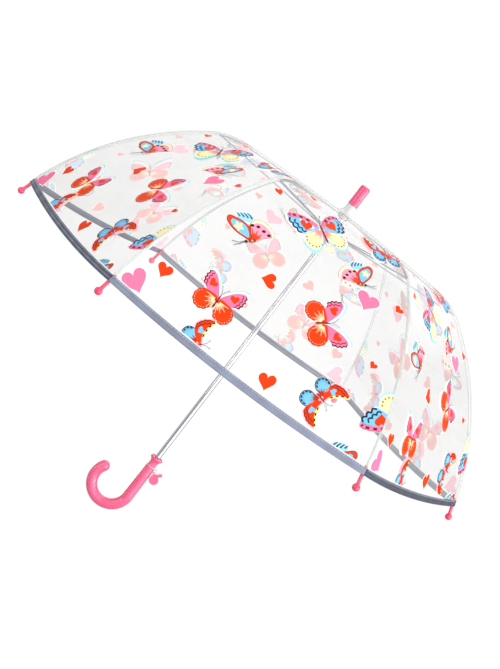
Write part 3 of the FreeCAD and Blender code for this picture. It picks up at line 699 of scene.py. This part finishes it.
def stitches(gore):
    """Short raised stitches along the inner edge of the binding, outside and inside."""
    vertices, faces = [], []
    s = STITCH_LINE
    count = int(2 * (half_width(s) - 4) / STITCH_PITCH)
    for i in range(count):
        t = (i - count / 2 + 0.5) * STITCH_PITCH
        for side in (1, -1):
            base = len(vertices)
            for ds in (-STITCH_HALF_WIDTH, STITCH_HALF_WIDTH):
                for dt, lift in STITCH_HUMP:
                    vertices.append(film_point(gore, s + ds, t + dt, side * lift))
            quads = [(0, 1, 5, 4), (1, 2, 6, 5), (2, 3, 7, 6)]
            faces += [tuple(base + v for v in (quad if side > 0 else quad[::-1])) for quad in quads]
    return mesh_object(f"stitches_{gore}", vertices, faces, THREAD)


SEAM_PROFILE = [(-2.1, 0.05), (-1.7, 0.38), (-0.5, 0.5), (0, 0.75), (0.5, 0.5), (1.7, 0.38),
                (2.1, 0.05)]                                                # (across it, lift)
SEAM_LEAN_IN = 0.9              # how much of the film's slope to either side the seam follows inwards
SEAM_LEAN_DOWN = 0.15           # and downwards


def seam_piece(rib, name, body, s_low, s_high, count):
    """The welded seam over a rib: a low ridge of doubled film."""
    azimuth = math.radians(60 * (rib - 1))
    turn = Matrix.Rotation(azimuth, 3, "Z")
    rows = []
    for s in steps(s_low, s_high, count):
        radius, height, slope = rib_point(s)
        row = []
        for y, lift in SEAM_PROFILE:
            drop = abs(y) * math.tan(HALF_GORE)
            outwards = radius + (lift - drop * SEAM_LEAN_IN) * math.sin(slope)
            up = height + (lift - drop * SEAM_LEAN_DOWN) * math.cos(slope)
            row.append(turn @ (Vector((outwards, y, up)) * MM))
        rows.append(row)
    piece = grid_object(f"seam_{name}_{rib}", rows, SEAM)
    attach(piece, body)
    return piece


# ---------------------------------------------------------------- turned parts

def lathe(name, outline, place, material, segments):
    """An outline of (radius, height) in millimetres turned about the Z axis of place."""
    rows = []
    for radius, height in outline:
        rows.append([place @ (Vector((radius * math.cos(a), radius * math.sin(a), height)) * MM)
                     for a in steps(0, 2 * math.pi, segments)[:-1]])
    return grid_object(name, rows, material, closed=True)


def rim_place(rib):
    """A frame at a rib's end on the rim, its Z axis running on along the rib."""
    radius, height, slope = rib_point(S_RIM, 0.0)
    turn = Matrix.Rotation(math.radians(60 * (rib - 1)), 4, "Z")
    return (turn @ Matrix.Translation(Vector((radius, 0, height)) * MM)
            @ Matrix.Rotation(math.pi / 2 + slope, 4, "Y"))


def make_tip(rib):
    """The ball on its sleeve at a rib's end."""
    ball = [(5.0 * math.sin(a), 17 - 5.0 * math.cos(a)) for a in steps(math.asin(0.5), math.pi - 0.01, 22)]
    outline = [(1.35, -11.0), (1.75, -11.0), (1.95, -10.8), (2.0, -10.3), (2.0, 0.6), (2.15, 1.1),
               (2.5, 1.5), (2.6, 2.2), (2.4, 3.0), (2.3, 9.0), (2.35, 11.0)] + ball
    piece = lathe(f"ball_tip_{rib}", outline, rim_place(rib), TIP_PINK, 36)
    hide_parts(f"tip_{rib}")
    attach(piece, f"rib_lower_{rib}")


# ---------------------------------------------------------------- camera, light and stage

CAMERA_AZIMUTH = math.radians(-92.8)
CAMERA_ELEVATION = math.radians(5.7)
CAMERA_ROLL = math.radians(37.7)
CAMERA_TARGET = Vector((-0.003, 0.0, 0.258))
CAMERA_DISTANCE = 1.885
CAMERA_LENS = 72.8


def make_camera():
    """The camera looks at the shaft from the side, rolled so that the umbrella leans to the right."""
    data = bpy.data.cameras.new("camera")
    data.lens = CAMERA_LENS
    camera = bpy.data.objects.new("camera", data)
    bpy.context.collection.objects.link(camera)
    back = Vector((math.cos(CAMERA_AZIMUTH) * math.cos(CAMERA_ELEVATION),
                   math.sin(CAMERA_AZIMUTH) * math.cos(CAMERA_ELEVATION), math.sin(CAMERA_ELEVATION)))
    camera.location = CAMERA_TARGET + back * CAMERA_DISTANCE
    level = (-back).to_track_quat("-Z", "Y").to_matrix()
    camera.rotation_euler = (level @ Matrix.Rotation(CAMERA_ROLL, 3, "Z")).to_euler()
    bpy.context.scene.camera = camera


# (share of the way round the horizon, brightness): soft boxes at 1 and above, dark gaps near 0.  They are
# placed for the main view, so that the shaft and the binding mirror the right tones there.
WORLD_BANDS = [(0.00, 1.10), (0.06, 1.00), (0.08, 0.03), (0.13, 0.05), (0.15, 0.60), (0.25, 0.75),
               (0.28, 1.45), (0.52, 1.45), (0.55, 0.06), (0.64, 0.08), (0.67, 1.15), (0.86, 1.15),
               (0.89, 0.06), (0.95, 0.08)]
WORLD_STRENGTH = 1.08


def make_world():
    """Tall soft boxes and dark gaps round the object, which light it and mirror in it.

    The camera itself sees plain white.
    """
    world = bpy.data.worlds.new("studio")
    bpy.context.scene.world = world
    world.use_nodes = True
    tree = world.node_tree
    lighting = tree.nodes["Background"]
    lighting.inputs["Strength"].default_value = WORLD_STRENGTH
    bands = tree.nodes.new("ShaderNodeValToRGB")
    ramp = bands.color_ramp
    for place, grey in WORLD_BANDS:
        stop = ramp.elements.new(place) if place else ramp.elements[0]
        stop.color = (grey, grey, grey, 1)
    ramp.elements[-1].color = ramp.elements[0].color
    around = tree.nodes.new("ShaderNodeTexGradient")
    around.gradient_type = "RADIAL"
    tree.links.new(tree.nodes.new("ShaderNodeTexCoord").outputs["Generated"], around.inputs["Vector"])
    tree.links.new(around.outputs["Fac"], bands.inputs["Fac"])
    tree.links.new(bands.outputs["Color"], lighting.inputs["Color"])
    seen = tree.nodes.new("ShaderNodeBackground")
    seen.inputs["Color"].default_value = (1, 1, 1, 1)
    either = tree.nodes.new("ShaderNodeMixShader")
    tree.links.new(tree.nodes.new("ShaderNodeLightPath").outputs["Is Camera Ray"], either.inputs[0])
    tree.links.new(lighting.outputs[0], either.inputs[1])
    tree.links.new(seen.outputs[0], either.inputs[2])
    tree.links.new(either.outputs[0], tree.nodes["World Output"].inputs["Surface"])


FLOOR_HALF_SIZE = 1.2
FLOOR_HEIGHT = -0.40
FLOOR_GLOW = 0.45               # for everything but the camera, which sees it white


def make_floor():
    """A dark floor that glows, white to the camera and less to the rest, so it takes no shadow.

    It is see-through from below.
    """
    corners = [(x * FLOOR_HALF_SIZE, y * FLOOR_HALF_SIZE, FLOOR_HEIGHT)
               for x, y in ((-1, -1), (1, -1), (1, 1), (-1, 1))]
    shader = Shader("floor", "202020", 1.0)
    shader.main.inputs["Specular IOR Level"].default_value = 0.0
    shader.main.inputs["Emission Color"].default_value = (1, 1, 1, 1)
    camera_ray = shader.node("LightPath").outputs["Is Camera Ray"]
    shader.link(shader.ramp(camera_ray, FLOOR_GLOW, 1.0, 0.0, 1.0), shader.main.inputs["Emission Strength"])
    below = shader.node("NewGeometry").outputs["Backfacing"]
    shader.link(shader.ramp(below, 1.0, 0.0, 0.0, 1.0), shader.main.inputs["Alpha"])
    floor = mesh_object("floor", corners, [(0, 1, 2, 3)], shader.material)


# (name, place, the point that it shines at, width, height, watts)
LIGHTS = [
    ("key", (-1.6, -2.2, 2.2), (0, 0, 0.3), 1.2, 1.2, 3),
    ("left_strip", (-1.7, -1.5, 0.6), (0, 0, 0.3), 0.25, 1.6, 9),
    ("right_strip", (1.5, -1.7, 0.1), (0, 0, 0.1), 0.25, 1.6, 7),
    ("right_fill", (2.3, -0.7, 0.6), (0, 0, 0.3), 1.4, 1.4, 18),
    ("top", (0.2, 0.6, 2.6), (0, 0, 0.3), 1.6, 1.0, 6),
]


def make_lights():
    for name, place, target, width, height, power in LIGHTS:
        data = bpy.data.lights.new(name, "AREA")
        data.shape = "RECTANGLE"
        data.size = width
        data.size_y = height
        data.energy = power
        light = bpy.data.objects.new(name, data)
        light.location = place
        light.rotation_euler = (Vector(target) - Vector(place)).to_track_quat("-Z", "Y").to_euler()
        bpy.context.collection.objects.link(light)


# ---------------------------------------------------------------- everything

def build_gore(gore):
    """The film, print, binding and stitches of one gore, each put on the body of the canopy panel that it
    belongs to.
    """
    upper_body = f"canopy_upper_{gore}"
    lower_body = f"canopy_lower_{gore}"
    upper, upper_flat, upper_area = film_piece(gore, "upper", upper_body, FILM_START, S_CLIP, 26)
    lower, lower_flat, lower_area = film_piece(gore, "lower", lower_body, S_CLIP, S_HEM + FILM_TUCK, 44)
    prints = [print_piece(gore, "upper", upper_body, FILM_START + PRINT_START, S_CLIP),
              print_piece(gore, "lower", lower_body, S_CLIP, S_HEM - PRINT_HEM_GAP)]
    hem = binding_piece(gore)
    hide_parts(f"edge_binding_{gore}")
    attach(hem, lower_body)
    thread = stitches(gore)
    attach(thread, lower_body)
    for piece in [upper, lower, hem, thread] + prints:
        fold_away(piece)


make_camera()
make_world()
make_floor()
make_lights()
bpy.context.scene.view_settings.view_transform = "Standard"

for gore in range(1, GORES + 1):
    build_gore(gore)

for rib in range(1, GORES + 1):
    seam_piece(rib, "upper", f"rib_upper_{rib}", FILM_START + SEAM_START, S_CLIP - SEAM_GAP, 20)
    seam_piece(rib, "lower", f"rib_lower_{rib}", S_CLIP + SEAM_GAP, S_HEM, 40)
    make_tip(rib)

# The longest name that a node's own name starts with decides its material.
NODE_MATERIALS = {"rib_upper": WIRE, "rib_lower": ROD, "stretcher": WIRE, "crown_wire": WIRE,
                  "runner_pins": WIRE, "shaft_tube": CHROME, "ferrule": FERRULE_PINK, "handle": PINK,
                  "whistle": PINK, "runner": WHITE, "crown_notch": WHITE, "canopy_rosette": FROSTED,
                  "neck_ring": FROSTED, "whistle_link": FROSTED, "whistle_pea": PEA, "top_catch": CHROME,
                  "bottom_catch": CHROME}
for name, node in frame["nodes"].items():
    kinds = [kind for kind in NODE_MATERIALS if name.startswith(kind)]
    if kinds:
        chosen = NODE_MATERIALS[max(kinds, key=len)]
        for material_slot in node.material_slots:
            material_slot.material = chosen

bpy.context.view_layer.update()
